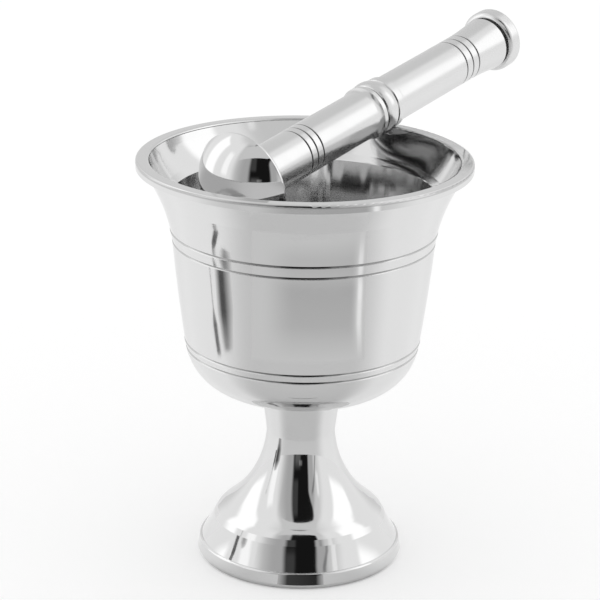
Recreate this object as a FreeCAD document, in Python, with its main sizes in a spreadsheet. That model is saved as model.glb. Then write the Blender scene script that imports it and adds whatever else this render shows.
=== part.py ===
"""Footed metal mortar with its turned pestle lying across the mouth.

Millimetres, +Z up. The origin is the centre of the foot's flat underside, on the mortar's axis.
Every turned piece is a half outline in the XZ plane, spun about Z. The pestle's pieces share a frame
of their own, which starts at the tip of the grinding head and runs along the handle; one placement
then lays them over the lip.
"""
import FreeCAD, Part
import math
import os
import re

import Sketcher
from FreeCAD import Placement, Rotation, Vector

doc = FreeCAD.newDocument("MortarAndPestle")

# ---------------------------------------------------------------------------------------------------
# Driving dimensions
# ---------------------------------------------------------------------------------------------------

SIZES = [
    # pedestal
    ("pedestal_height", 63.0, "foot's underside to the seat of the bowl"),
    ("foot_radius", 38.0, "widest radius of the foot"),
    ("foot_edge_round", 1.9, "rounding under the foot's edge"),
    ("foot_band", 3.5, "height of the plain band above that rounding"),
    ("foot_band_taper", 0.8, "inward lean of the band"),
    ("band_edge_inset", 0.9, "radial run of the rounded edge above the band"),
    ("band_edge_rise", 0.6, "height of that rounded edge"),
    ("band_edge_bulge", 0.1, "how far that edge stands off its chord"),
    ("skirt_inset", 4.5, "radial run of the conical skirt above that edge"),
    ("skirt_rise", 8.2, "height of the skirt"),
    ("skirt_dip", 0.2, "how far the skirt lies inside its chord"),
    ("fillet_inset", 1.3, "inward lean of the steep fillet above the skirt"),
    ("fillet_rise", 2.0, "height of that fillet"),
    ("dome_inset", 3.1, "radial run of the low dome above the fillet"),
    ("dome_rise", 2.8, "height of the dome"),
    ("dome_bulge", 0.08, "how far the dome's curve stands off its chord"),
    ("trumpet_dip", 3.4, "how far the sweep up to the neck lies inside its chord"),
    ("neck_radius", 12.6, "narrowest radius of the stem"),
    ("neck_drop", 15.5, "seat of the bowl down to the neck"),
    ("stem_top_radius", 14.8, "radius of the stem under the bowl"),
    ("stem_top_dip", 0.15, "how far the spread above the neck lies inside its chord"),
    ("stem_top_chamfer", 0.5, "chamfer that makes the shadow line under the bowl"),
    ("foot_wall", 4.0, "wall of the hollow foot at its edge"),
    ("foot_hollow_rise", 5.0, "straight height of the hollow above the edge"),
    ("dome_wall", 3.8, "wall of the hollow foot under the dome"),
    ("ceiling_height", 26.0, "height of the clamping face inside the foot"),
    ("ceiling_radius", 14.0, "radius of that face"),
    # bowl, outside
    ("seat_radius", 13.9, "radius of the bowl's seat on the stem"),
    ("seat_relief", 0.5, "height of the shadow line above the seat"),
    ("underside_radius", 15.4, "where the flat underside starts"),
    ("underside_bulge", 0.6, "how far the underside stands off its chord"),
    ("shoulder_radius", 32.2, "radius where underside turns into shoulder"),
    ("shoulder_rise", 4.1, "seat to shoulder"),
    ("shoulder_bulge", 1.95, "how far the shoulder stands off its chord"),
    ("belly_rise", 14.3, "shoulder to the lowest groove"),
    ("belly_radius", 42.9, "radius at the upper groove of the lower pair"),
    ("lower_pair_pitch", 2.9, "distance between the lower two grooves"),
    ("lower_pair_step", 0.6, "difference of radius between them"),
    ("wall_rise", 37.0, "lower pair to upper pair"),
    ("wall_crown", 0.24, "slight crown of the side"),
    ("waist_radius", 47.2, "radius at the lower groove of the upper pair"),
    ("upper_pair_pitch", 4.2, "distance between the upper two grooves"),
    ("upper_pair_step", 0.8, "difference of radius between them"),
    ("flare_rise", 13.5, "upper pair to the knee of the flare"),
    ("flare_radius", 52.5, "radius at the knee of the flare"),
    ("flare_dip", 0.34, "how far the flare lies inside its chord"),
    ("lip_rise", 12.2, "knee of the flare to the top of the lip"),
    ("rim_radius", 60.1, "outer radius of the lip"),
    ("lip_overhang", 3.5, "how far the lip stands out past the flare"),
    ("lip_band", 3.1, "height of the lip's plain outer band"),
    ("cove_rise", 0.8, "height of the small cove under the lip"),
    ("cove_dip", 0.55, "how far that cove lies inside its chord"),
    ("lip_outer_round", 1.0, "rounding of the lip's outer top edge"),
    ("lip_width", 4.8, "lip's top, from outer to inner edge"),
    ("lip_inner_round", 0.9, "rounding of the lip's inner top edge"),
    ("groove_width", 0.9, "width of a turned groove on the bowl"),
    ("groove_depth", 0.45, "depth of a turned groove on the bowl"),
    # bowl, inside
    ("mouth_dip", 0.45, "how far the inner flare lies inside its chord"),
    ("flare_wall", 3.2, "wall at the ledge inside the flare"),
    ("ledge_lift", 0.9, "ledge above the knee of the flare"),
    ("ledge_run", 2.1, "radial width of the sloping ledge"),
    ("ledge_drop", 2.2, "height of the sloping ledge"),
    ("bore_swell", 0.25, "how far the bore swells inwards below the ledge"),
    ("wall", 2.9, "wall of the bowl's side"),
    ("wall_offset", 3.3, "how far the inner bends stand off the grooves in height"),
    ("base_wall", 6.1, "thickness at the shoulder"),
    ("hollow_dip", 1.8, "how far the inner shoulder lies outside its chord"),
    ("base_thickness", 6.4, "seat of the bowl to its inner floor"),
    # joint between bowl and pedestal
    ("spigot_radius", 9.9, "register under the bowl"),
    ("spigot_length", 4.0, "length of the register"),
    ("spigot_gap", 0.3, "space below the register"),
    ("slip_play", 0.05, "radial play of registers, rod and threads"),
    ("bolt_radius", 4.0, "clamp bolt's thread"),
    ("bolt_hole_play", 0.4, "radial play of the bolt in the stem"),
    ("bolt_reach", 3.4, "depth of the tapped hole above the seat"),
    ("bolt_end_gap", 0.8, "space above the bolt's end"),
    ("bolt_head_radius", 6.5, "clamp bolt's head"),
    ("bolt_head_height", 8.0, "height of that head"),
    ("bolt_key_radius", 3.46, "corner radius of the hexagon socket"),
    ("bolt_key_depth", 4.0, "depth of the hexagon socket"),
    ("bolt_chamfer", 0.6, "chamfer at the bolt's ends"),
    ("washer_radius", 12.0, "clamp washer"),
    ("washer_thickness", 2.0, "thickness of the washer"),
    # pestle
    ("head_radius", 19.0, "grinding head"),
    ("head_dome", 11.8, "height of the head's dome"),
    ("head_band", 0.4, "plain band behind the dome"),
    ("head_edge_round", 1.0, "rounding of the head's back edge"),
    ("head_back_rise", 0.4, "slope of the head's back face"),
    ("grip_radius", 9.15, "lower half of the handle"),
    ("grip_foot_flare", 1.15, "spread of the handle where it meets the head"),
    ("grip_foot_rise", 2.6, "length of that spread"),
    ("grip_foot_dip", 0.28, "how far that spread lies inside its chord"),
    ("lower_grip_length", 70.9, "head to the middle knop"),
    ("lower_groove_start", 26.6, "head to the first of three grooves"),
    ("lower_groove_pitch", 3.3, "distance between them"),
    ("collar_radius", 10.1, "collar at the end of the lower grip"),
    ("collar_length", 1.8, "plain length of the collar"),
    ("collar_rise", 2.2, "length of the sweep up to the collar"),
    ("collar_dip", 0.18, "how far that sweep lies inside its chord"),
    ("seam_chamfer", 0.7, "chamfer beside each seam of the knop"),
    ("knop_length", 6.55, "middle knop"),
    ("knop_edge_radius", 9.85, "radius at the knop's edges"),
    ("knop_bulge", 0.65, "how far the knop swells past its edges"),
    ("ring_radius", 9.9, "ring at the start of the upper grip"),
    ("ring_length", 3.1, "plain length of that ring"),
    ("ring_cove", 1.7, "length of the cove behind the ring"),
    ("ring_dip", 0.35, "how far that cove lies inside its chord"),
    ("upper_radius", 9.05, "upper half of the handle"),
    ("upper_grip_length", 69.75, "knop to the end of the handle"),
    ("upper_groove_start", 45.45, "knop to the first of three grooves"),
    ("upper_groove_pitch", 3.95, "distance between them"),
    ("bell_start", 52.5, "knop to the start of the bell mouth"),
    ("bell_radius", 10.3, "end of the bell mouth"),
    ("bell_dip", 0.25, "how far the bell mouth lies inside its chord"),
    ("handle_groove_width", 0.8, "width of the handle's grooves"),
    ("handle_groove_depth", 0.4, "depth of the handle's grooves"),
    ("cap_neck_radius", 8.3, "neck between handle and end disc"),
    ("cap_neck_length", 1.5, "length of that neck"),
    ("cap_radius", 12.0, "end disc"),
    ("cap_thickness", 6.2, "thickness of the end disc"),
    ("cap_round", 1.0, "rounding of the disc's far edge"),
    ("cap_back_round", 2.0, "rounding of the disc's edge towards the handle"),
    ("rod_radius", 4.0, "tie rod through the pestle"),
    ("rod_head_depth", 9.3, "rod's hole in the grinding head"),
    ("rod_cap_depth", 4.6, "rod's hole in the end disc, from its neck"),
    ("rod_end_gap", 0.5, "space at each end of the rod"),
    ("rod_chamfer", 0.6, "chamfer at the rod's ends"),
    # how the pestle lies
    ("tip_bearing", 224.22, "bearing of the head's tip, degrees from +X"),
    ("tip_wall_gap", 8.86, "tip to the ledge, measured level"),
    ("tip_drop", 6.92, "lip down to the tip"),
    ("lip_bearing", 56.95, "bearing where the handle crosses the lip, degrees"),
    ("rest_gap", 0.3, "handle to the lip's inner edge"),
]

sheet = doc.addObject("Spreadsheet::Sheet", "Sizes")
for row, (alias, size, note) in enumerate(SIZES, start=1):
    sheet.set(f"A{row}", note)
    sheet.set(f"B{row}", str(size))
    sheet.setAlias(f"B{row}", alias)
doc.recompute()

ALIASES = {alias for alias, size, note in SIZES}


def bound(formula):
    """Put the sheet's name in front of every alias in a formula."""
    return re.sub(r"[a-z_]+", lambda word: "Sizes." + word[0] if word[0] in ALIASES else word[0], formula)


def value(formula):
    """Work out a formula of the sheet's aliases."""
    return float(sheet.evalExpression(bound(formula)))


# Heights and radii that several pieces share, as formulas of the driving dimensions.
SEAT = "pedestal_height"
SHOULDER = SEAT + " + shoulder_rise"
LOWER_GROOVE = SHOULDER + " + belly_rise"
BELLY = LOWER_GROOVE + " + lower_pair_pitch"
WAIST = BELLY + " + wall_rise"
UPPER_GROOVE = WAIST + " + upper_pair_pitch"
KNEE = UPPER_GROOVE + " + flare_rise"
LIP = KNEE + " + lip_rise"
LEDGE = KNEE + " + ledge_lift"
LEDGE_RADIUS = "flare_radius - flare_wall"
MOUTH_RADIUS = "rim_radius - lip_width"
WASHER_FACE = "ceiling_height - washer_thickness"
# The inner shoulder stands off the outer one along a 3-4-5 slope.
HOLLOW_RADIUS = "shoulder_radius - 0.6 * base_wall"
HOLLOW_RISE = "shoulder_rise + 0.8 * base_wall - base_thickness"

HEAD_BACK = "head_dome + head_band + head_edge_round + head_back_rise"
KNOP_START = HEAD_BACK + " + lower_grip_length"
KNOP_END = KNOP_START + " + knop_length"
HANDLE_END = KNOP_END + " + upper_grip_length"
CAP_FACE = HANDLE_END + " + cap_neck_length"
PESTLE_END = CAP_FACE + " + cap_thickness"
ROD_HOLE = "rod_radius + slip_play"


# ---------------------------------------------------------------------------------------------------
# Turning
# ---------------------------------------------------------------------------------------------------

def new_body(label):
    """An empty body for one sub-part."""
    body = doc.addObject("PartDesign::Body", label)
    body.Label = label
    return body


def origin_feature(body, role):
    """One of the body's own origin planes or axes."""
    return next(item for item in body.Origin.OriginFeatures if item.Role == role)


def sphere_through(radius, height):
    """Formula for the radius of a dish or dome that is `height` deep and `radius` wide at its edge."""
    return f"(({radius}) ^ 2 + ({height}) ^ 2) / (2 * ({height}))"


def arc_radius(start, end, bulge):
    """Formula for the radius of the arc between two corners that stands off its chord by `bulge`."""
    run = f"({end[0]} - ({start[0]})) ^ 2"
    rise = f"({end[1]} - ({start[1]})) ^ 2"
    return f"({run} + {rise}) / (8 * {bulge}) + {bulge} / 2"


def arc_middle(start, end, radius, side):
    """Middle point of the arc of a given radius that bulges to one side of the chord."""
    chord = end - start
    bulge = radius - math.sqrt(radius ** 2 - chord.Length ** 2 / 4)
    outwards = Vector(chord.y, -chord.x, 0).normalize()
    return (start + end) * 0.5 + outwards * bulge * side


def pin_corner(sketch, curve, vertex, radius, height):
    """Hold a corner at its radius and height, or on the axis where either is nought."""
    for kind, formula, axis in (("DistanceX", radius, -2), ("DistanceY", height, -1)):
        if formula == "0":
            sketch.addConstraint(Sketcher.Constraint("PointOnObject", curve, vertex, axis))
        else:
            size = Sketcher.Constraint(kind, -1, 1, curve, vertex, value(formula))
            sketch.setExpression(f"Constraints[{sketch.addConstraint(size)}]", bound(formula))


def outline(body, name, corners):
    """Closed half outline. A corner is (radius, height), and where the stretch to the next corner is an
    arc, its kind and size follow. "round" and "hollow" arcs are given by their radius, "swell" and "dip"
    arcs by how far they stand off their chord. Round and swell bulge out of the metal, hollow and dip
    into it. The corners run up the outside, so the metal is on their left."""
    sketch = body.newObject("Sketcher::SketchObject", name)
    sketch.AttachmentSupport = [(origin_feature(body, "XZ_Plane"), "")]
    sketch.MapMode = "FlatFace"
    points = [Vector(value(corner[0]), value(corner[1]), 0) for corner in corners]
    radii = {}
    for index, corner in enumerate(corners):
        following = corners[(index + 1) % len(corners)]
        if corner[2:3] in (("round",), ("hollow",)):
            radii[index] = corner[3]
        elif len(corner) == 4:
            radii[index] = arc_radius(corner, following, corner[3])
    curves = []
    for index, corner in enumerate(corners):
        start = points[index]
        end = points[(index + 1) % len(points)]
        if len(corner) == 2:
            curve = sketch.addGeometry(Part.LineSegment(start, end), False)
        else:
            side = 1 if corner[2] in ("round", "swell") else -1
            middle = arc_middle(start, end, value(radii[index]), side)
            curve = sketch.addGeometry(Part.Arc(start, middle, end), False)
        first = 1 if (sketch.getPoint(curve, 1) - start).Length < (sketch.getPoint(curve, 2) - start).Length else 2
        curves.append((curve, first, 3 - first))
    for index, corner in enumerate(corners):
        curve, first, last = curves[index]
        following, joined = curves[(index + 1) % len(curves)][:2]
        sketch.addConstraint(Sketcher.Constraint("Coincident", curve, last, following, joined))
        pin_corner(sketch, curve, first, corner[0], corner[1])
        if index in radii:
            size = Sketcher.Constraint("Radius", curve, value(radii[index]))
            sketch.setExpression(f"Constraints[{sketch.addConstraint(size)}]", bound(radii[index]))
    return sketch


def spin(body, name, corners, kind="PartDesign::Revolution"):
    """Spin an outline about the body's Z axis, to add metal or, as a groove, to cut it."""
    sketch = outline(body, name + "_outline", corners)
    before = body.Shape.Volume if body.Tip else 0.0
    feature = body.newObject(kind, name)
    feature.Profile = sketch
    feature.ReferenceAxis = (sketch, ["V_Axis"])
    feature.Angle = 360.0
    sketch.Visibility = False
    body.Tip = feature
    doc.recompute()
    grows = kind == "PartDesign::Revolution"
    if (body.Shape.Volume > before) != grows:
        raise RuntimeError(f"{name} of {body.Label} does not change the metal as it should")
    return feature


def circles_at(shape, radius, height):
    """Names of the shape's round edges of one radius at one height."""
    names = []
    for number, edge in enumerate(shape.Edges, start=1):
        curve = edge.Curve
        if isinstance(curve, Part.Circle) and abs(curve.Radius - value(radius)) < 1e-4:
            if abs(curve.Center.z - value(height)) < 1e-4:
                names.append(f"Edge{number}")
    return names


def dress_edges(body, kind, name, size, circles):
    """Fillet or chamfer the round edges named by radius and height."""
    base = body.Tip
    edges = [edge for radius, height in circles for edge in circles_at(base.Shape, radius, height)]
    feature = body.newObject(kind, name)
    feature.Base = (base, edges)
    feature.setExpression("Radius" if kind == "PartDesign::Fillet" else "Size", bound(size))
    body.Tip = feature
    doc.recompute()
    return feature


def triple_groove(body, name, radius, height, pitch):
    """Three turned grooves at one pitch along the handle."""
    half = "handle_groove_width / 2"
    groove = spin(body, name, [
        (f"{radius} - handle_groove_depth", height),
        (f"{radius} + handle_groove_depth", f"{height} - {half} * 2"),
        (f"{radius} + handle_groove_depth", f"{height} + {half} * 2"),
    ], "PartDesign::Groove")
    pattern = body.newObject("PartDesign::LinearPattern", name + "_row")
    pattern.Originals = [groove]
    pattern.Direction = (origin_feature(body, "Z_Axis"), [""])
    pattern.Occurrences = 3
    pattern.setExpression("Length", bound(f"2 * {pitch}"))
    body.Tip = pattern
    doc.recompute()
    return pattern


# ---------------------------------------------------------------------------------------------------
# Mortar
# ---------------------------------------------------------------------------------------------------

def make_pedestal():
    """Hollow foot and waisted stem, with a register for the bowl on top."""
    band_top = "foot_edge_round + foot_band"
    band_radius = "foot_radius - foot_band_taper"
    edge_top = band_top + " + band_edge_rise"
    edge_radius = band_radius + " - band_edge_inset"
    skirt_top = edge_top + " + skirt_rise"
    skirt_radius = edge_radius + " - skirt_inset"
    dome_foot = skirt_top + " + fillet_rise"
    dome_radius = skirt_radius + " - fillet_inset"
    dome_top = dome_foot + " + dome_rise"
    trumpet_radius = dome_radius + " - dome_inset"
    recess = "spigot_radius + slip_play"
    recess_floor = SEAT + " - spigot_length - spigot_gap"
    bolt_hole = "bolt_radius + bolt_hole_play"
    body = new_body("pedestal")
    spin(body, "turned_foot", [
        ("foot_radius - foot_wall", "0"),
        ("foot_radius - foot_edge_round", "0", "round", "foot_edge_round"),
        ("foot_radius", "foot_edge_round"),
        (band_radius, band_top, "swell", "band_edge_bulge"),
        (edge_radius, edge_top, "dip", "skirt_dip"),
        (skirt_radius, skirt_top),
        (dome_radius, dome_foot, "swell", "dome_bulge"),
        (trumpet_radius, dome_top, "dip", "trumpet_dip"),
        ("neck_radius", SEAT + " - neck_drop", "dip", "stem_top_dip"),
        ("stem_top_radius", SEAT + " - stem_top_chamfer"),
        ("stem_top_radius - stem_top_chamfer", SEAT),
        (recess, SEAT),
        (recess, recess_floor),
        (bolt_hole, recess_floor),
        (bolt_hole, "ceiling_height"),
        ("ceiling_radius", "ceiling_height"),
        (f"{trumpet_radius} - dome_wall", f"{dome_top} - dome_wall / 2"),
        ("foot_radius - foot_wall", "foot_hollow_rise"),
    ])
    return body


def groove_corners(radius, height):
    """Corners of a V groove in the bowl's side, from its lower edge to its upper edge."""
    return [
        (radius, f"{height} - groove_width / 2"),
        (f"{radius} - groove_depth", height),
    ]


def make_bowl():
    """Flared bowl with a flat lip, two pairs of grooves, a ledge inside the mouth and a tapped boss."""
    lowest_radius = "belly_radius - lower_pair_step"
    highest_radius = "waist_radius + upper_pair_step"
    tapped = "bolt_radius + slip_play"
    tapped_top = SEAT + " + bolt_reach"
    half = "groove_width / 2"
    dish = sphere_through(HOLLOW_RADIUS, HOLLOW_RISE)
    body = new_body("bowl")
    spin(body, "turned_bowl", [
        ("0", tapped_top),
        (tapped, tapped_top),
        (tapped, SEAT + " - spigot_length"),
        ("spigot_radius", SEAT + " - spigot_length"),
        ("spigot_radius", SEAT),
        ("seat_radius", SEAT),
        ("seat_radius", SEAT + " + seat_relief"),
        ("underside_radius", SEAT + " + seat_relief", "swell", "underside_bulge"),
        ("shoulder_radius", SHOULDER, "swell", "shoulder_bulge"),
        *groove_corners(lowest_radius, LOWER_GROOVE),
        (lowest_radius, f"{LOWER_GROOVE} + {half}"),
        *groove_corners("belly_radius", BELLY),
        ("belly_radius", f"{BELLY} + {half}", "swell", "wall_crown"),
        *groove_corners("waist_radius", WAIST),
        ("waist_radius", f"{WAIST} + {half}"),
        *groove_corners(highest_radius, UPPER_GROOVE),
        (highest_radius, f"{UPPER_GROOVE} + {half}", "dip", "flare_dip"),
        ("flare_radius", KNEE),
        ("rim_radius - lip_overhang", LIP + " - lip_band - cove_rise", "dip", "cove_dip"),
        ("rim_radius", LIP + " - lip_band"),
        ("rim_radius", LIP + " - lip_outer_round", "round", "lip_outer_round"),
        ("rim_radius - lip_outer_round", LIP),
        (MOUTH_RADIUS + " + lip_inner_round", LIP, "round", "lip_inner_round"),
        (MOUTH_RADIUS, LIP + " - lip_inner_round", "dip", "mouth_dip"),
        (LEDGE_RADIUS, LEDGE),
        (LEDGE_RADIUS + " - ledge_run", LEDGE + " - ledge_drop", "swell", "bore_swell"),
        ("waist_radius - wall", WAIST + " - wall_offset"),
        ("belly_radius - wall", BELLY + " + wall_offset", "dip", "hollow_dip"),
        (HOLLOW_RADIUS, f"{SEAT} + base_thickness + {HOLLOW_RISE}", "hollow", dish),
        ("0", SEAT + " + base_thickness"),
    ])
    return body


def make_clamp_bolt():
    """Socket-head bolt that pulls the bowl down on the stem."""
    bolt_top = SEAT + " + bolt_reach - bolt_end_gap"
    head_foot = WASHER_FACE + " - bolt_head_height"
    body = new_body("clamp_bolt")
    spin(body, "turned_bolt", [
        ("0", head_foot),
        ("bolt_head_radius", head_foot),
        ("bolt_head_radius", WASHER_FACE),
        ("bolt_radius", WASHER_FACE),
        ("bolt_radius", bolt_top),
        ("0", bolt_top),
    ])
    dress_edges(body, "PartDesign::Chamfer", "end_chamfers", "bolt_chamfer", [
        ("bolt_radius", bolt_top),
        ("bolt_head_radius", head_foot),
    ])
    solid = body.Shape.Volume
    key = body.newObject("PartDesign::SubtractivePrism", "key_socket")
    key.AttachmentSupport = [(origin_feature(body, "XY_Plane"), "")]
    key.MapMode = "FlatFace"
    key.Polygon = 6
    key.setExpression("Circumradius", bound("bolt_key_radius"))
    key.setExpression("Height", bound("bolt_key_depth"))
    key.setExpression(".AttachmentOffset.Base.z", bound(head_foot))
    body.Tip = key
    doc.recompute()
    if not body.Shape.Volume < solid:
        raise RuntimeError("the hexagon socket misses the bolt's head")
    return body


def make_clamp_washer():
    """Washer between the bolt's head and the foot's ceiling."""
    hole = "bolt_radius + bolt_hole_play"
    body = new_body("clamp_washer")
    spin(body, "turned_washer", [
        (hole, WASHER_FACE),
        ("washer_radius", WASHER_FACE),
        ("washer_radius", "ceiling_height"),
        (hole, "ceiling_height"),
    ])
    return body


# ---------------------------------------------------------------------------------------------------
# Pestle
# ---------------------------------------------------------------------------------------------------

def make_grinding_head():
    """Domed head with a crisp back edge, tapped for the rod."""
    dome = sphere_through("head_radius", "head_dome")
    edge = "head_dome + head_band"
    body = new_body("grinding_head")
    spin(body, "turned_head", [
        ("0", "0", "round", dome),
        ("head_radius", "head_dome"),
        ("head_radius", edge, "round", "head_edge_round"),
        ("head_radius - head_edge_round", edge + " + head_edge_round"),
        ("grip_radius + grip_foot_flare", HEAD_BACK),
        (ROD_HOLE, HEAD_BACK),
        (ROD_HOLE, HEAD_BACK + " - rod_head_depth"),
        ("0", HEAD_BACK + " - rod_head_depth"),
    ])
    return body


def make_lower_grip():
    """Lower half of the handle, from the head to the collar."""
    collar_end = KNOP_START + " - seam_chamfer"
    collar_foot = collar_end + " - collar_length"
    body = new_body("lower_grip")
    spin(body, "turned_grip", [
        (ROD_HOLE, HEAD_BACK),
        ("grip_radius + grip_foot_flare", HEAD_BACK, "dip", "grip_foot_dip"),
        ("grip_radius", HEAD_BACK + " + grip_foot_rise"),
        ("grip_radius", collar_foot + " - collar_rise", "dip", "collar_dip"),
        ("collar_radius", collar_foot),
        ("collar_radius", collar_end),
        ("collar_radius - seam_chamfer", KNOP_START),
        (ROD_HOLE, KNOP_START),
    ])
    first = HEAD_BACK + " + lower_groove_start"
    triple_groove(body, "grip_groove", "grip_radius", first, "lower_groove_pitch")
    return body


def make_middle_knop():
    """Rounded bead in the middle of the handle."""
    body = new_body("middle_knop")
    spin(body, "turned_knop", [
        (ROD_HOLE, KNOP_START),
        ("knop_edge_radius - seam_chamfer", KNOP_START),
        ("knop_edge_radius", KNOP_START + " + seam_chamfer", "swell", "knop_bulge"),
        ("knop_edge_radius", KNOP_END + " - seam_chamfer / 2"),
        ("knop_edge_radius - seam_chamfer / 2", KNOP_END),
        (ROD_HOLE, KNOP_END),
    ])
    return body


def make_upper_grip():
    """Upper half of the handle: ring, plain grip, three grooves and a bell mouth."""
    ring_start = KNOP_END + " + seam_chamfer / 2"
    ring_end = ring_start + " + ring_length"
    body = new_body("upper_grip")
    spin(body, "turned_grip", [
        (ROD_HOLE, KNOP_END),
        ("ring_radius - seam_chamfer / 2", KNOP_END),
        ("ring_radius", ring_start),
        ("ring_radius", ring_end, "dip", "ring_dip"),
        ("upper_radius", ring_end + " + ring_cove"),
        ("upper_radius", KNOP_END + " + bell_start", "dip", "bell_dip"),
        ("bell_radius", HANDLE_END),
        (ROD_HOLE, HANDLE_END),
    ])
    first = KNOP_END + " + upper_groove_start"
    triple_groove(body, "grip_groove", "upper_radius", first, "upper_groove_pitch")
    return body


def make_end_cap():
    """Disc on a recessed neck, tapped for the rod."""
    body = new_body("end_cap")
    spin(body, "turned_cap", [
        (ROD_HOLE, HANDLE_END),
        ("cap_neck_radius", HANDLE_END),
        ("cap_neck_radius", CAP_FACE),
        ("cap_radius", CAP_FACE),
        ("cap_radius", PESTLE_END),
        ("0", PESTLE_END),
        ("0", HANDLE_END + " + rod_cap_depth"),
        (ROD_HOLE, HANDLE_END + " + rod_cap_depth"),
    ])
    dress_edges(body, "PartDesign::Fillet", "rounded_back", "cap_back_round", [
        ("cap_radius", CAP_FACE),
    ])
    dress_edges(body, "PartDesign::Fillet", "rounded_end", "cap_round", [
        ("cap_radius", PESTLE_END),
    ])
    return body


def make_tie_rod():
    """Threaded rod that pulls head, grips, knop and cap together."""
    rod_start = HEAD_BACK + " - rod_head_depth + rod_end_gap"
    rod_end = HANDLE_END + " + rod_cap_depth - rod_end_gap"
    body = new_body("tie_rod")
    spin(body, "turned_rod", [
        ("0", rod_start),
        ("rod_radius", rod_start),
        ("rod_radius", rod_end),
        ("0", rod_end),
    ])
    dress_edges(body, "PartDesign::Chamfer", "end_chamfers", "rod_chamfer", [
        ("rod_radius", rod_start),
        ("rod_radius", rod_end),
    ])
    return body


# ---------------------------------------------------------------------------------------------------
# How the pestle lies
# ---------------------------------------------------------------------------------------------------

def polar(radius, bearing, height):
    """Point at a radius and bearing (degrees) about the mortar's axis."""
    angle = math.radians(bearing)
    return Vector(radius * math.cos(angle), radius * math.sin(angle), height)


def lie(height):
    """Placement of the pestle with its tip inside the mouth and its axis `height` over the far lip."""
    tip_radius = value(f"{LEDGE_RADIUS} - tip_wall_gap")
    tip = polar(tip_radius, value("tip_bearing"), value(LIP + " - tip_drop"))
    over_lip = polar(value(MOUTH_RADIUS), value("lip_bearing"), value(LIP) + height)
    return Placement(tip, Rotation(Vector(0, 0, 1), over_lip - tip))


def lower_onto_lip(pieces):
    """Lower the handle about its tip until it is the rest gap from the lip's rounded inner edge."""
    centre = Vector(0, 0, value(LIP + " - lip_inner_round"))
    edge = Part.makeCircle(value(MOUTH_RADIUS + " + lip_inner_round"), centre)
    handle = Part.makeCompound([body.Shape for body in pieces])
    wanted = value("lip_inner_round + rest_gap")
    lowest, highest = 0.0, value(PESTLE_END)
    while highest - lowest > 1e-5:
        height = (lowest + highest) / 2
        handle.Placement = lie(height)
        if handle.distToShape(edge)[0] < wanted:
            lowest = height
        else:
            highest = height
    return lie(highest)


mortar = [make_pedestal(), make_bowl(), make_clamp_bolt(), make_clamp_washer()]
pestle = [
    make_grinding_head(),
    make_lower_grip(),
    make_middle_knop(),
    make_upper_grip(),
    make_end_cap(),
    make_tie_rod(),
]

resting = lower_onto_lip(pestle)
for body in pestle:
    body.Placement = resting
doc.recompute()

# ---------------------------------------------------------------------------------------------------
# Check and write
# ---------------------------------------------------------------------------------------------------

for item in doc.Objects:
    if "Invalid" in item.State or "Error" in item.State:
        raise RuntimeError(f"{item.Label} did not compute: {item.State}")

os.makedirs("parts", exist_ok=True)
for body in mortar + pestle:
    shape = body.Shape
    if shape.isNull() or not shape.isValid() or len(shape.Solids) != 1:
        raise RuntimeError(f"{body.Label} is not one sound solid")
for body in mortar + pestle:
    body.Shape.exportStep(f"parts/{body.Label}.step")
    box = body.Shape.BoundBox
    print(f"{body.Label}: {body.Shape.Volume / 1000:.1f} cm3, z {box.ZMin:.1f} to {box.ZMax:.1f}")
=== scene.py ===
# %% [markdown]
# # A footed steel mortar with its pestle
#
# The object is a heavy cup on a waisted foot, turned from stainless steel and polished, with a pestle
# that lies over its lip. Every solid piece comes ready from the CAD frame. What is made here is what a
# solid model can't say: how the steel is finished, what lights it, and where the camera stands.
#
# All lengths are in metres. The floor is at Z = 0, and the front of the object faces -Y.

import math

import bpy
import numpy as np
from mathutils import Matrix, Vector

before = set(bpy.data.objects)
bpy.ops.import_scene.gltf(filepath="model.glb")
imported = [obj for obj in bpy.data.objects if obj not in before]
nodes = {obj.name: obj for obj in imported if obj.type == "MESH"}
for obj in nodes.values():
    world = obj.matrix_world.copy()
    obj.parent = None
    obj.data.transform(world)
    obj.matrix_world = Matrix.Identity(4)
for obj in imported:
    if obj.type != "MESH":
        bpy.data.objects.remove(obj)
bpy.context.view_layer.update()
print("pieces:", ", ".join(sorted(nodes)))

# %% [markdown]
# ## Where the pestle's axis lies
#
# Turning marks run round a piece, so a material has to know its axis. The mortar stands on the frame's
# own Z axis. The pestle leans, and its axis can be read from the tie rod, which is a plain round bar:
# the direction in which its vertices spread most is the rod's own.

# %% Read the pestle's axis
def vertices_of(piece):
    """All vertices of a mesh as an array of shape (count, 3)."""
    places = np.zeros(len(piece.data.vertices) * 3)
    piece.data.vertices.foreach_get("co", places)
    return places.reshape(-1, 3)


rod_points = vertices_of(nodes["tie_rod"])
rod_middle = (rod_points.min(axis=0) + rod_points.max(axis=0)) / 2
spread = np.linalg.svd(rod_points - rod_points.mean(axis=0), full_matrices=False)[2]
pestle_axis = Vector(spread[0] * math.copysign(1.0, spread[0][2])).normalized()
print("pestle axis:", [round(x, 4) for x in pestle_axis], "through", rod_middle.round(4).tolist())

# %% [markdown]
# ## The pestle's tip
#
# Heights along the pestle are counted from the tip of its head, so that a groove's place can be given
# as a distance from there. The tip is the lowest vertex of the head along the axis.

# %% Find the pestle's tip
head_points = vertices_of(nodes["grinding_head"])
lowest = ((head_points - rod_middle) @ np.array(pestle_axis)).min()
tip = Vector(rod_middle) + pestle_axis * float(lowest)
print("the pestle's tip lies at", [round(x, 4) for x in tip])

# %% [markdown]
# ## Camera
#
# A long lens from a little above the lip flattens the ovals and keeps the sides nearly upright. The
# camera could be aimed with a constraint, but three small angles say its turn exactly. It is placed by
# its distance and height, then turned by them.

# %% Place the camera
bpy.context.scene.view_settings.view_transform = "Standard"
camera_place = Vector((0.0, -0.77203, 0.36377))
camera_yaw = -0.001333
camera_pitch = 0.332045
camera_roll = 0.015289
lens_mm = 135.32
sensor_mm = 36.0

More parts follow.
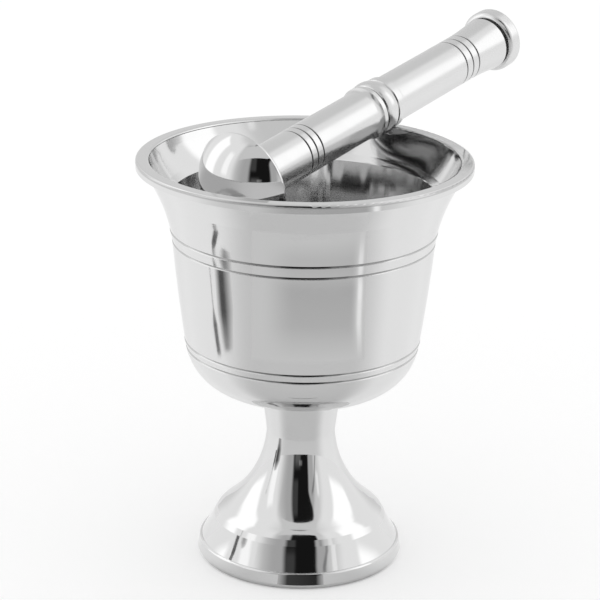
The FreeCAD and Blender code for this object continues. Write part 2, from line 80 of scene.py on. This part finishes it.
aim = Vector((
    math.sin(camera_yaw) * math.cos(camera_pitch),
    math.cos(camera_yaw) * math.cos(camera_pitch),
    -math.sin(camera_pitch),
))
level_right = aim.cross(Vector((0, 0, 1))).normalized()
level_up = level_right.cross(aim)
right = math.cos(camera_roll) * level_right + math.sin(camera_roll) * level_up
up = math.cos(camera_roll) * level_up - math.sin(camera_roll) * level_right
turn = Matrix((right, up, -aim)).transposed().to_4x4()

camera_data = bpy.data.cameras.new("camera")
camera_data.lens = lens_mm
camera_data.sensor_width = sensor_mm
camera = bpy.data.objects.new("camera", camera_data)
camera.matrix_world = Matrix.Translation(camera_place) @ turn
bpy.context.scene.collection.objects.link(camera)
bpy.context.scene.camera = camera
print(f"camera {camera_place.length:.3f} m from the foot, "
      f"looking {math.degrees(camera_pitch):.1f} degrees down")

# %% [markdown]
# ## Small helpers for node trees
#
# Every finish below is a tree of nodes. A few helpers keep the trees readable: they add a node and fill
# its sockets, do one sum, fade one value into another, or start a group or a material.

# %% Node helpers
def add_node(tree, kind, inputs=None, **settings):
    """Add a node, set its properties, and fill or link its input sockets."""
    made = tree.nodes.new(kind)
    for name, setting in settings.items():
        setattr(made, name, setting)
    for socket, given in (inputs or {}).items():
        if isinstance(given, bpy.types.NodeSocket):
            tree.links.new(given, made.inputs[socket])
        else:
            made.inputs[socket].default_value = given
    return made


def math_node(tree, operation, first, second=0.0):
    """One scalar operation on two sockets or numbers; gives its output socket."""
    return add_node(tree, "ShaderNodeMath", {0: first, 1: second}, operation=operation).outputs[0]


def from_axis(tree, x, y, least=0.0):
    """Distance from the Z axis: the root of x squared plus y squared plus a least value."""
    squares = math_node(tree, "ADD", math_node(tree, "MULTIPLY", x, x), math_node(tree, "MULTIPLY", y, y))
    return math_node(tree, "SQRT", math_node(tree, "ADD", squares, least))


# %% Helpers that mix values
def between(tree, share, at_zero, at_one):
    """A straight mix: at_zero where the share is 0 and at_one where it is 1."""
    mixed = add_node(tree, "ShaderNodeMapRange", {"Value": share, "To Min": at_zero, "To Max": at_one})
    return mixed.outputs[0]


def fade(tree, value, low, high, at_low, at_high):
    """A smooth step from at_low to at_high while the value runs from low to high."""
    stepped = add_node(tree, "ShaderNodeMapRange", {
        "Value": value, "From Min": low, "From Max": high, "To Min": at_low, "To Max": at_high,
    }, interpolation_type="SMOOTHSTEP")
    return stepped.outputs[0]


# %% Helpers that start a group or a material
FLOAT = "NodeSocketFloat"
VECTOR = "NodeSocketVector"


def new_group(name, inputs, outputs):
    """A shader group with named sockets; gives the tree, its input node and its output node."""
    tree = bpy.data.node_groups.new(name, "ShaderNodeTree")
    for label, kind, start in inputs:
        socket = tree.interface.new_socket(label, in_out="INPUT", socket_type=kind)
        if start is not None:
            socket.default_value = start
    for label, kind in outputs:
        tree.interface.new_socket(label, in_out="OUTPUT", socket_type=kind)
    return tree, tree.nodes.new("NodeGroupInput"), tree.nodes.new("NodeGroupOutput")


def new_material(name):
    """A material without nodes but its output; gives the material, its tree and the output node."""
    material = bpy.data.materials.new(name)
    material.use_nodes = True
    material.node_tree.nodes.clear()
    return material, material.node_tree, material.node_tree.nodes.new("ShaderNodeOutputMaterial")


# %% [markdown]
# ## Turning marks
#
# A cutting tool and then a polishing wheel both run round the turning piece, so they leave rings: very
# fine, uneven, and almost gone after polishing. Stretched noise makes them. The noise is squeezed along
# the axis and outwards, and hardly changes on the way round, which the rings of a real piece do too.

# %% Group: turning marks
def make_turning_marks():
    """Rings about the local Z axis: noise of (radius, height), nearly constant round the axis."""
    tree, given, result = new_group(
        "turning_marks",
        [("Vector", VECTOR, None), ("Rings per metre", FLOAT, 3000.0), ("Unevenness", FLOAT, 1.5)],
        [("Height", FLOAT)],
    )
    split = add_node(tree, "ShaderNodeSeparateXYZ", {0: given.outputs["Vector"]})
    x, y, z = split.outputs
    radius = from_axis(tree, x, y, least=1e-9)
    rings = given.outputs["Rings per metre"]
    uneven = given.outputs["Unevenness"]
    round_x = math_node(tree, "MULTIPLY", math_node(tree, "DIVIDE", x, radius), uneven)
    round_y = math_node(tree, "MULTIPLY", math_node(tree, "DIVIDE", y, radius), uneven)
    across = math_node(tree, "ADD", math_node(tree, "MULTIPLY", radius, rings), round_x)
    along = math_node(tree, "MULTIPLY", z, rings)
    place = add_node(tree, "ShaderNodeCombineXYZ", {0: across, 1: round_y, 2: along})
    noise = add_node(tree, "ShaderNodeTexNoise", {"Vector": place.outputs[0], "Scale": 1.0, "Detail": 3.0})
    tree.links.new(noise.outputs["Fac"], result.inputs["Height"])
    return tree


turning_marks = make_turning_marks()
print("made group", turning_marks.name)

# %% [markdown]
# ## Polishing haze
#
# A hand-held buff never gives a perfect mirror. Some patches stay a little duller, and the surface waves
# by a few hundredths of a millimetre, which bends reflections. Both come from slow noise.

# %% Group: polishing haze
def make_polish_haze():
    """Slow noise: a mask from 0 to 1 for dull patches and a height for waves of the surface."""
    tree, given, result = new_group(
        "polish_haze",
        [("Vector", VECTOR, None), ("Patches per metre", FLOAT, 60.0), ("Waves per metre", FLOAT, 40.0)],
        [("Mask", FLOAT), ("Height", FLOAT)],
    )
    patches = add_node(tree, "ShaderNodeTexNoise", {
        "Vector": given.outputs["Vector"],
        "Scale": given.outputs["Patches per metre"],
        "Detail": 4.0,
        "Roughness": 0.6,
    })
    waves = add_node(tree, "ShaderNodeTexNoise", {
        "Vector": given.outputs["Vector"],
        "Scale": given.outputs["Waves per metre"],
        "Detail": 1.0,
    })
    tree.links.new(fade(tree, patches.outputs["Fac"], 0.42, 0.68, 0.0, 1.0), result.inputs["Mask"])
    tree.links.new(waves.outputs["Fac"], result.inputs["Height"])
    return tree


polish_haze = make_polish_haze()
print("made group", polish_haze.name)

# %% [markdown]
# ## Painted shade in a groove
#
# A dark line is painted along the bottom of a turned groove and along the seams between pieces, as painted
# shade where little light reaches. The mask is 1 at one height along the axis and fades out on both sides
# of it.

# %% Group: painted groove shade
def make_painted_groove_shade():
    """1 where the height along the axis is at Centre, fading to 0 at Half width from it, and 0
    everywhere nearer to the axis than Least radius."""
    tree, given, result = new_group(
        "painted_groove_shade",
        [("Vector", VECTOR, None), ("Centre", FLOAT, 0.0), ("Half width", FLOAT, 0.0005),
         ("Least radius", FLOAT, 0.0)],
        [("Mask", FLOAT)],
    )
    split = add_node(tree, "ShaderNodeSeparateXYZ", {0: given.outputs["Vector"]})
    x, y, z = split.outputs
    outside = math_node(tree, "GREATER_THAN", from_axis(tree, x, y), given.outputs["Least radius"])
    away = math_node(tree, "ABSOLUTE", math_node(tree, "SUBTRACT", z, given.outputs["Centre"]))
    share = math_node(tree, "DIVIDE", away, given.outputs["Half width"])
    line = fade(tree, share, 0.45, 1.0, 1.0, 0.0)
    tree.links.new(math_node(tree, "MULTIPLY", line, outside), result.inputs["Mask"])
    return tree


painted_groove_shade = make_painted_groove_shade()
print("made group", painted_groove_shade.name)

# %% [markdown]
# ## The inside of the cup
#
# A buff reaches the outside of the cup easily and the inside badly, so the inside stays satin. A point is
# on the inside where the surface faces the axis. Forming the cup also leaves faint marks that run up and
# down its wall, so light from above falls down the wall in stripes.

# %% Group: inner wall
def make_inner_wall():
    """Mask: 1 where the surface faces the local Z axis. Wall: the same, but only below Wall top.
    Height: marks that change round the axis only."""
    tree, given, result = new_group(
        "inner_wall",
        [("Vector", VECTOR, None), ("Normal", VECTOR, None), ("Marks", FLOAT, 3.5),
         ("Wall top", FLOAT, 0.138)],
        [("Mask", FLOAT), ("Wall", FLOAT), ("Height", FLOAT)],
    )
    flat = add_node(tree, "ShaderNodeVectorMath", {0: given.outputs["Vector"], 1: (1, 1, 0)},
                    operation="MULTIPLY")
    outward = add_node(tree, "ShaderNodeVectorMath", {0: flat.outputs[0]}, operation="NORMALIZE")
    facing = add_node(tree, "ShaderNodeVectorMath", {0: outward.outputs[0], 1: given.outputs["Normal"]},
                      operation="DOT_PRODUCT")
    inside = fade(tree, facing.outputs["Value"], -0.5, -0.1, 1.0, 0.0)
    marks = add_node(tree, "ShaderNodeTexNoise", {
        "Vector": outward.outputs[0], "Scale": given.outputs["Marks"], "Detail": 1.0,
    })
    split = add_node(tree, "ShaderNodeSeparateXYZ", {0: given.outputs["Vector"]})
    below = math_node(tree, "LESS_THAN", split.outputs["Z"], given.outputs["Wall top"])
    tree.links.new(inside, result.inputs["Mask"])
    tree.links.new(math_node(tree, "MULTIPLY", inside, below), result.inputs["Wall"])
    tree.links.new(marks.outputs["Fac"], result.inputs["Height"])
    return tree


inner_wall = make_inner_wall()
print("made group", inner_wall.name)

# %% [markdown]
# ## Putting the groups into a material
#
# The groups read a place on the piece. A Mapping node first turns the object's coordinates so that Z runs
# along the piece's own axis, up from the pestle's tip or from the floor. That is simpler than a second
# coordinate object, and stays with the piece when it moves.

# %% Parts of a steel finish
def along_piece(tree, coordinates, pestle):
    """Object coordinates as they are for the mortar, or counted from the tip along the pestle's axis."""
    place = add_node(tree, "ShaderNodeMapping", {"Vector": coordinates.outputs["Object"]},
                     vector_type="TEXTURE")
    if pestle:
        place.inputs["Location"].default_value = tip
        place.inputs["Rotation"].default_value = pestle_axis.to_track_quat("Z", "Y").to_euler()
    return place.outputs[0]


def place_group(tree, group, vector, **values):
    """Put a shared group into a tree, at a place on the piece and with values of its own."""
    placed = add_node(tree, "ShaderNodeGroup", {"Vector": vector}, node_tree=group)
    for label, number in values.items():
        placed.inputs[label.replace("_", " ")].default_value = number
    return placed


def painted_shade_lines(tree, vector, lines):
    """Mask of all painted shade lines together. Each is (height, half width, least radius, strength)."""
    mask = None
    for height, half_width, least_radius, strength in lines:
        line = place_group(tree, painted_groove_shade, vector, Centre=height, Half_width=half_width,
                           Least_radius=least_radius)
        weak = math_node(tree, "MULTIPLY", line.outputs["Mask"], strength)
        mask = weak if mask is None else math_node(tree, "MAXIMUM", mask, weak)
    return mask


# %% [markdown]
# ## Steel
#
# One function makes every steel finish. The shader stays here in the material: bare metal, so fully
# metallic, with its grey in Base Color. The groups change the roughness and the height of the surface,
# and paint shade into the grey of the grooves. Three bumps lie over each other: waves, marks on the inner
# wall, and rings.

# %% Steel finishes
rings_per_metre = 2500
wall_mark_depth = 2e-3
# Painted shade: the near-black grey and the extra roughness that the lines in grooves and seams give the
# steel.
painted_shade_colour = (0.03, 0.03, 0.03, 1.0)
shade_line_roughness = 0.3


def steel(name, grey, roughness, dull, ring_depth, wave_depth, lines=(), pestle=False, satin=None):
    """A polished steel. Roughness grows by `dull` in hazy patches; depths are in metres; `lines` are
    painted shade; `satin` is the roughness of a cup's inner flare and of the wall below it."""
    material, tree, output = new_material(name)
    coordinates = tree.nodes.new("ShaderNodeTexCoord")
    vector = along_piece(tree, coordinates, pestle)
    haze = place_group(tree, polish_haze, vector)
    marks = place_group(tree, turning_marks, vector, Rings_per_metre=rings_per_metre)
    waves = add_node(tree, "ShaderNodeBump", {"Height": haze.outputs["Height"], "Distance": wave_depth})
    rough = between(tree, haze.outputs["Mask"], roughness, roughness + dull)
    if satin is not None:
        inside = place_group(tree, inner_wall, vector)
        tree.links.new(coordinates.outputs["Normal"], inside.inputs["Normal"])
        wall = inside.outputs["Wall"]
        rough = between(tree, wall, between(tree, inside.outputs["Mask"], rough, satin[0]), satin[1])
        tree.links.new(math_node(tree, "SUBTRACT", 1.0, wall), waves.inputs["Strength"])
        waves = add_node(tree, "ShaderNodeBump", {
            "Height": inside.outputs["Height"], "Strength": wall, "Distance": wall_mark_depth,
            "Normal": waves.outputs[0],
        })
    ringed = add_node(tree, "ShaderNodeBump", {
        "Height": marks.outputs["Height"], "Distance": ring_depth, "Normal": waves.outputs[0],
    })
    colour = grey + (1.0,)
    shader = add_node(tree, "ShaderNodeBsdfPrincipled", {
        "Metallic": 1.0, "Base Color": colour, "Normal": ringed.outputs[0],
    })
    # Painted shade: along the groove and seam lines the steel's grey is mixed towards near-black.
    dark = painted_shade_lines(tree, vector, lines)
    if dark is not None:
        tint = add_node(tree, "ShaderNodeMix", {"Factor": dark, 6: colour, 7: painted_shade_colour},
                        data_type="RGBA")
        tree.links.new(tint.outputs[2], shader.inputs["Base Color"])
        rough = math_node(tree, "ADD", rough, math_node(tree, "MULTIPLY", dark, shade_line_roughness))
    tree.links.new(rough, shader.inputs["Roughness"])
    tree.links.new(shader.outputs[0], output.inputs["Surface"])
    return material


# %% [markdown]
# ## Where the painted shade lines are
#
# The grooves are cut in the solids. The lines below only paint shade into them, so their heights are the
# grooves'
# own: above the floor on the mortar, and from the tip on the pestle. The cup has a pair of grooves near
# its bottom, a pair under its flare, and a painted dark line where the lip's rounding ends. The handle has
# three grooves on each half, a seam beside the knop and a wider one under the end disc.

# %% Painted shade lines on the cup and the handle
lower_pair = [(height, 0.0005, 0.041, 0.28) for height in (0.0814, 0.0843)]
upper_pair = [(height, 0.0005, 0.046, 0.28) for height in (0.1213, 0.1255)]
lip_line = [(0.15035, 0.0007, 0.0590, 0.3)]
cup_lines = lower_pair + upper_pair + lip_line

lower_three = [(height, 0.00045, 0.0, 0.75) for height in (0.0402, 0.0435, 0.0468)]
upper_three = [(height, 0.00045, 0.0, 0.75) for height in (0.1365, 0.14045, 0.1444)]
knop_seam = [(0.0845, 0.00045, 0.0, 0.8)]
end_seam = [(0.16155, 0.0009, 0.0, 0.8)]
handle_lines = lower_three + upper_three + knop_seam + end_seam
print(len(cup_lines), "dark lines on the cup,", len(handle_lines), "on the handle")

# %% [markdown]
# ## Which finish goes where
#
# The cup and the foot are buffed bright. The handle is left a little duller, so that it can be gripped,
# and the head is polished by its own use. Bolt, washer and rod are never seen, and keep a plain machined
# finish. A CAD piece may come with any number of slots, so each of them gets the same material.

# %% Finish each piece
polished_grey = (0.66, 0.66, 0.66)
machined_grey = (0.55, 0.55, 0.56)


def finish(node, material):
    """Give a CAD node one material, whatever slots it came with."""
    slots = nodes[node].data.materials
    if not slots:
        slots.append(material)
    for index in range(len(slots)):
        slots[index] = material


bowl_steel = steel("bowl_steel", polished_grey, 0.06, 0.05, 2e-6, 1e-4, cup_lines, satin=(0.09, 0.12))
foot_steel = steel("foot_steel", polished_grey, 0.035, 0.04, 1e-6, 1e-4)
handle_steel = steel("handle_steel", polished_grey, 0.20, 0.06, 2e-6, 5e-5, handle_lines, pestle=True)
head_steel = steel("head_steel", polished_grey, 0.04, 0.04, 1e-6, 1e-4, pestle=True)
plain_steel = steel("plain_steel", machined_grey, 0.35, 0.1, 3e-6, 1e-5)
finish("bowl", bowl_steel)
finish("pedestal", foot_steel)
finish("grinding_head", head_steel)
for node in ("lower_grip", "middle_knop", "upper_grip", "end_cap"):
    finish(node, handle_steel)
for node in ("clamp_bolt", "clamp_washer", "tie_rod"):
    finish(node, plain_steel)
print("finished", len(nodes), "pieces")

# %% [markdown]
# ## Floor
#
# Polished metal shows its surroundings more than itself. It stands on a pale, matt floor, a wide disc.
# A plane would do as well, but a disc has no corners for the metal to mirror.

# %% Lay the floor
def make_floor(reach=3.0, rings=6, around=96):
    """A level disc: a corner lies at (radius, angle), both evenly spaced, round one middle corner."""
    radii = np.linspace(0.0, reach, rings + 1)[1:]
    angles = np.linspace(0, 2 * np.pi, around, endpoint=False)
    grid_r, grid_a = np.meshgrid(radii, angles, indexing="ij")
    places = [grid_r * np.cos(grid_a), grid_r * np.sin(grid_a), np.zeros_like(grid_r)]
    points = np.vstack([[[0, 0, 0]], np.stack(places, axis=-1).reshape(-1, 3)])
    index = 1 + np.arange(rings * around).reshape(rings, around)
    after = np.roll(index, -1, axis=1)
    fan = np.stack([np.zeros(around, dtype=int), index[0], after[0]], axis=-1)
    quads = np.stack([index[:-1], index[1:], after[1:], after[:-1]], axis=-1).reshape(-1, 4)
    mesh = bpy.data.meshes.new("floor")
    mesh.from_pydata(points.tolist(), [], fan.tolist() + quads.tolist())
    laid = bpy.data.objects.new("floor", mesh)
    bpy.context.scene.collection.objects.link(laid)
    return laid


floor = make_floor()
print("laid a floor of", len(floor.data.polygons), "faces")

# %% [markdown]
# ## How the floor looks, to the eye and in the metal
#
# The floor keeps the object's shadow, so it is lit as any surface is. A little glow for camera rays alone
# lifts it to white. In the metal the floor glows by another amount, which falls off towards the front
# and a little towards the back, because there a person and a table edge would shade it.

# %% Light path helper
def eye_and_mirror(tree):
    """Two sockets: 1 for rays from the camera, and 1 for rays off a mirror or through glass."""
    ray = tree.nodes.new("ShaderNodeLightPath")
    mirrored = math_node(tree, "MAXIMUM", ray.outputs["Is Glossy Ray"], ray.outputs["Is Transmission Ray"])
    return ray.outputs["Is Camera Ray"], mirrored


# %% Floor material
floor_grey = (0.8, 0.8, 0.8, 1)
white = (1, 1, 1, 1)
eye_glow = 0.25
side_glow, front_glow, back_glow = 0.36, 0.03, 0.20

floor_material, tree, out = new_material("floor_white")
matt = add_node(tree, "ShaderNodeBsdfDiffuse", {"Color": floor_grey})
eye, mirrored = eye_and_mirror(tree)
floor_place = tree.nodes.new("ShaderNodeTexCoord").outputs["Object"]
floor_x, floor_y, _ = add_node(tree, "ShaderNodeSeparateXYZ", {0: floor_place}).outputs
reach = math_node(tree, "ADD", from_axis(tree, floor_x, floor_y), 0.001)
frontal = math_node(tree, "DIVIDE", math_node(tree, "MULTIPLY", floor_y, -1.0), reach)
mirror_glow = math_node(tree, "MINIMUM", fade(tree, frontal, 0.15, 0.75, side_glow, front_glow),
                        fade(tree, frontal, -0.95, -0.5, back_glow, side_glow))
strength = math_node(tree, "ADD", math_node(tree, "MULTIPLY", eye, eye_glow),
                     math_node(tree, "MULTIPLY", mirrored, mirror_glow))
glow = add_node(tree, "ShaderNodeEmission", {"Color": white, "Strength": strength})
both = add_node(tree, "ShaderNodeAddShader", {0: matt.outputs[0], 1: glow.outputs[0]})
tree.links.new(both.outputs[0], out.inputs["Surface"])
floor.data.materials.append(floor_material)
print("made material", floor_material.name)

# %% [markdown]
# ## World
#
# A white world lights the object evenly from all sides, as a studio with white walls does. To the eye
# and in the metal it is pure white, and as a light a touch weaker, so that pale surfaces don't clip.

# %% World
world_light, world_white = 0.95, 1.0

world = bpy.data.worlds.new("studio")
bpy.context.scene.world = world
world.use_nodes = True
tree = world.node_tree
tree.nodes.clear()
out = tree.nodes.new("ShaderNodeOutputWorld")
strength = between(tree, math_node(tree, "MAXIMUM", *eye_and_mirror(tree)), world_light, world_white)
sky = add_node(tree, "ShaderNodeBackground", {"Color": white, "Strength": strength})
tree.links.new(sky.outputs[0], out.inputs["Surface"])
print("made world", world.name)

# %% [markdown]
# ## A light tent
#
# Polished steel is best lit in a tent of white cloth: lamps behind the side walls, and a dark door in
# front. The tent is a dome, and how bright each spot of it is can be written as a function of its two
# angles. Only mirrored rays meet it, so it neither hides the background nor tints the floor.

# %% Smooth steps and patches
def ramp(angle, low, high):
    """0 below low, 1 above high, and a smooth step between them."""
    share = np.clip((angle - low) / (high - low), 0.0, 1.0)
    return share * share * (3 - 2 * share)


def window(angle, low, high, soft):
    """1 between low and high, fading to 0 over `soft` outside them."""
    return ramp(angle, low - soft, low) * (1 - ramp(angle, high, high + soft))


def add_patches(cloth, patches, azimuth, elevation):
    """Add bright patches: (brightness, azimuths, their fade, elevations, their fade) in degrees."""
    for bright, across, soft_across, upright, soft_upright in patches:
        patch = window(azimuth, *across, soft_across) * window(elevation, *upright, soft_upright)
        cloth = cloth + bright * patch
    return cloth


# %% [markdown]
# ## The tent's cloth and its door
#
# The side walls are the brightest, with a still brighter patch where each lamp stands. The cloth round the
# door lies in shade, and the door itself is nearly black. It leans open at the top right, and in it the
# lens, its stand and a sleeve show as paler patches, which keeps the reflection from looking cut out.

# %% The tent's brightness
lamp_patches = (
    (0.28, (-74, -66), 5, (14, 40), 9),
    (0.42, (82, 108), 7, (22, 52), 10),
    (0.30, (44, 47), 3, (20, 34), 8),
)
door_patches = (
    (0.24, (-12, -2), 6, (-20, 4), 14),
    (0.30, (-2, 4), 3, (7, 10), 2),
    (0.10, (-14, -8), 5, (30, 58), 8),
)
tent_grey = 0.82
side_light = 0.28
door_shade = 0.36
door_black = 0.98
slit_shade = 0.50


def tent_brightness(azimuth, elevation):
    """Brightness of the tent's cloth. Azimuth 0 is towards the lens, positive to its right."""
    side = ramp(np.abs(azimuth), 44, 60) * (1 - ramp(np.abs(azimuth), 136, 156))
    cloth = tent_grey + side_light * side * (1 - ramp(elevation, 60, 76))
    cloth = add_patches(cloth, lamp_patches, azimuth, elevation)
    shade = ramp(azimuth, -58, -30) * (1 - ramp(azimuth, 32, 40)) * (1 - ramp(elevation, 64, 74))
    cloth *= 1 - door_shade * shade
    door_edge = 20 + 16 * ramp(elevation, 34, 64)
    door = ramp(azimuth, -23, -15) * (1 - ramp(azimuth - door_edge, 0, 5)) * window(elevation, -2, 68, 7)
    cloth *= 1 - (door_black - add_patches(0.0, door_patches, azimuth, elevation)) * door
    slit = window(azimuth + 0.35 * (elevation - 14), 39, 40.5, 2) * window(elevation, -3, 34, 8)
    cloth *= 1 - slit_shade * slit
    return cloth


# %% [markdown]
# ## Cloth that only mirrors see
#
# Tent and cloths are plain faces that glow. Each corner carries its brightness as an attribute, which the
# material reads, so one material serves any pattern. An image would do it too, but this needs no file.

# %% Helpers for glowing cloth
def hang_cloth(name, points, brightness, closed=False):
    """An object through a grid of points (rows, columns, 3), with a brightness at each corner. Four
    neighbours make a face, and a closed cloth also joins its last row to its first."""
    index = np.arange(points.shape[0] * points.shape[1]).reshape(points.shape[:2])
    here, after = (index, np.roll(index, -1, axis=0)) if closed else (index[:-1], index[1:])
    faces = np.stack([here[:, :-1], here[:, 1:], after[:, 1:], after[:, :-1]], axis=-1).reshape(-1, 4)
    mesh = bpy.data.meshes.new(name)
    mesh.from_pydata(points.reshape(-1, 3).tolist(), [], faces.tolist())
    light = mesh.attributes.new("brightness", "FLOAT", "POINT")
    light.data.foreach_set("value", np.asarray(brightness, dtype=np.float32).ravel())
    cloth = bpy.data.objects.new(name, mesh)
    bpy.context.scene.collection.objects.link(cloth)
    return cloth


def only_in_mirrors(cloth):
    """Hide a cloth from the camera and from diffuse light, and let it throw no shadow."""
    cloth.visible_camera = False
    cloth.visible_diffuse = False
    cloth.visible_shadow = False


def glowing_cloth(name):
    """Material that glows by the attribute; gives the material, its tree, the glow and the output."""
    material, tree, out = new_material(name)
    bright = add_node(tree, "ShaderNodeAttribute", attribute_name="brightness")
    glow = add_node(tree, "ShaderNodeEmission", {"Color": white, "Strength": bright.outputs["Fac"]})
    return material, tree, glow, out


# %% Raise the tent
def make_tent(radius=1.6, columns=480, rows=96):
    """A dome: azimuth and elevation run over a grid, and each corner carries its brightness."""
    azimuth = np.linspace(-180, 180, columns, endpoint=False)
    elevation = np.linspace(-3, 89.5, rows)
    grid_a, grid_e = np.meshgrid(azimuth, elevation, indexing="ij")
    a, e = np.radians(grid_a), np.radians(grid_e)
    points = radius * np.stack([np.sin(a) * np.cos(e), -np.cos(a) * np.cos(e), np.sin(e)], axis=-1)
    return hang_cloth("light_tent", points, tent_brightness(grid_a, grid_e), closed=True)


tent = make_tent()
only_in_mirrors(tent)
tent_material, tree, glow, out = glowing_cloth("tent_cloth")
tree.links.new(glow.outputs[0], out.inputs["Surface"])
tent.data.materials.append(tent_material)
print("raised a tent of", len(tent.data.polygons), "faces")

# %% [markdown]
# ## Cloths near the object
#
# Grey cloths near the object shape the reflections below the horizon, where the tent can't reach. Each is
# a sheet: a grid of corners with a grey at every corner, so its edges can fade. Sheets are seen in mirrors
# only, and only from their front: from behind, the material turns clear.

# %% Sheet maker
sheet_material, tree, glow, out = glowing_cloth("sheet_cloth")
clear = tree.nodes.new("ShaderNodeBsdfTransparent")
behind = tree.nodes.new("ShaderNodeNewGeometry").outputs["Backfacing"]
one_sided = add_node(tree, "ShaderNodeMixShader", {0: behind, 1: glow.outputs[0], 2: clear.outputs[0]})
tree.links.new(one_sided.outputs[0], out.inputs["Surface"])
print("made material", sheet_material.name)


def make_sheet(name, corners, greys):
    """A sheet through a grid of corners (rows, columns, 3) with a grey for each corner."""
    sheet = hang_cloth(name, np.asarray(corners, dtype=float), greys)
    only_in_mirrors(sheet)
    sheet.data.materials.append(sheet_material)
    return sheet


# %% [markdown]
# ## Cloths that lie in front
#
# The side of the cup mirrors what lies on the floor in front of it. Two parts of a level ring put a soft
# grey field there, with a bright gap on its right. A low step at the foot darkens the front of its edge.

# %% Cloths lying in front
plain_grey = 0.80
gap_light = 0.42


def lie_in_front(name, rings, height):
    """Part of a level ring. Rings are pairs of radius and grey; the grey fades to plain at both ends
    and brightens in a narrow gap on the right."""
    azimuth = np.linspace(50, -40, 46)
    radii, greys = np.array(rings).T
    depth = ramp(azimuth, -34, -5) * (1 - ramp(azimuth, 38, 43))
    gap = window(azimuth, 43.5, 46, 1.5)
    grid_r, grid_a = np.meshgrid(radii, np.radians(azimuth), indexing="ij")
    places = [grid_r * np.sin(grid_a), -grid_r * np.cos(grid_a), np.full_like(grid_r, height)]
    deepest = plain_grey - greys.min()
    share = (plain_grey - greys[:, None]) / deepest
    return make_sheet(name, np.stack(places, axis=-1),
                      plain_grey + share * (gap_light * gap - deepest * depth)[None, :])


lie_in_front("door_cloth", [(0.095, 0.80), (0.125, 0.62), (0.160, 0.57), (0.185, 0.80)], 0.052)
lie_in_front("door_sill", [(0.30, 0.80), (0.34, 0.52), (0.50, 0.52), (0.54, 0.80)], 0.06)

step_x = (0.0185, 0.0125, -0.0080, -0.0150)
step_y = -0.055
step_greys = (0.60, 0.03, 0.06, 0.60)
step_corners = [[(x, step_y, z) for x in step_x] for z in (0.0, 0.0056)]
make_sheet("door_step", step_corners, [step_greys, step_greys])
print("laid two cloths and a step in front")

# %% [markdown]
# ## Valance over the door
#
# Without it the polished head and the far side of the flare would mirror the whole height of the dark
# door. A short upright cloth close above the cup covers its upper part.

# %% Hang the valance
valance_x = np.linspace(0.10, -0.10, 21)
valance_z = np.linspace(0.232, 0.36, 9)
grid_z, grid_x = np.meshgrid(valance_z, valance_x, indexing="ij")
valance = np.stack([grid_x, np.full_like(grid_x, -0.10), grid_z], axis=-1)
make_sheet("valance", valance, np.full_like(grid_x, plain_grey))
print("hung the valance from", valance_z[-1], "to", valance_z[0])

# %% [markdown]
# ## Bright cloth on the left
#
# A lamp close on the left gives the left side of cup and foot their brightest band. It is a piece of a
# wide cylinder, brightest inside and fading towards its edges.

# %% Hang the side cloth
def hang(name, azimuth, heights, radius, base, extra, soft_azimuth, soft_height, steps=25):
    """An upright cloth bent round the object: `base` bright at its edges and `base + extra` inside."""
    grid_h, grid_a = np.meshgrid(np.linspace(heights[0], heights[1], steps),
                                 np.linspace(azimuth[1], azimuth[0], steps), indexing="ij")
    a = np.radians(grid_a)
    points = np.stack([radius * np.sin(a), -radius * np.cos(a), grid_h], axis=-1)
    inside = window(grid_a, azimuth[0] + soft_azimuth, azimuth[1] - soft_azimuth, soft_azimuth)
    inside = inside * window(grid_h, heights[0] + soft_height, heights[1] - soft_height, soft_height)
    return make_sheet(name, points, base + extra * inside)


hang("side_cloth", (-124, -90), (0.09, 0.62), 0.45, 1.10, 0.42, 7, 0.05)
print("hung the side cloth")

# %% [markdown]
# ## Flag on the left
#
# A narrow black flag near the cup gives it one dark upright line, which makes polished metal look like
# metal. It leans away from the cup, fades at both ends, and hangs from a thin stick beside it.

# %% Cut the flag
flag_bearing = math.radians(-72)
stick_bearing = flag_bearing - 0.08
flag_base, flag_lean = 0.165, 0.5
flag_shift = (-0.008, -0.010)
flag_plain = 0.95


def outward(bearing):
    """Level direction from the axis towards a bearing, counted from the front to the right."""
    return np.array([math.sin(bearing), -math.cos(bearing), 0.0])


flag_side = np.array([math.cos(flag_bearing), math.sin(flag_bearing), 0.0])
flag_columns = ((0.032, 0.80), (0.006, 0.10), (-0.006, 0.10), (-0.022, 0.95))
flag_rows = ((0.001, 0.6, 0.6), (0.022, 1.0, 1.0), (0.048, 1.0, 1.0), (0.075, 0.3, 0.2))
flag_corners = [[outward(flag_bearing) * (flag_base + flag_lean * height) + flag_side * side * width
                 + np.array([*flag_shift, height])
                 for side, _ in flag_columns] for height, width, _ in flag_rows]
flag_greys = [[flag_plain - (flag_plain - grey) * depth for _, grey in flag_columns]
              for _, _, depth in flag_rows]
make_sheet("flag", flag_corners, flag_greys)

# %% Cut the flag's stick
stick_distance = 0.13
stick_rows = ((0.028, 0.005), (0.046, 0.005), (0.056, 0.0012), (0.095, 0.0008))
stick_greys = [[0.15, 0.15], [0.15, 0.15], [0.55, 0.55], [0.45, 0.45]]
stick_corners = [[outward(stick_bearing) * stick_distance + flag_side * side
                  + np.array([0.0, 0.0, height]) for side in (width, -width)]
                 for height, width in stick_rows]
make_sheet("flag_stick", stick_corners, stick_greys)
print("cut the flag and its stick")
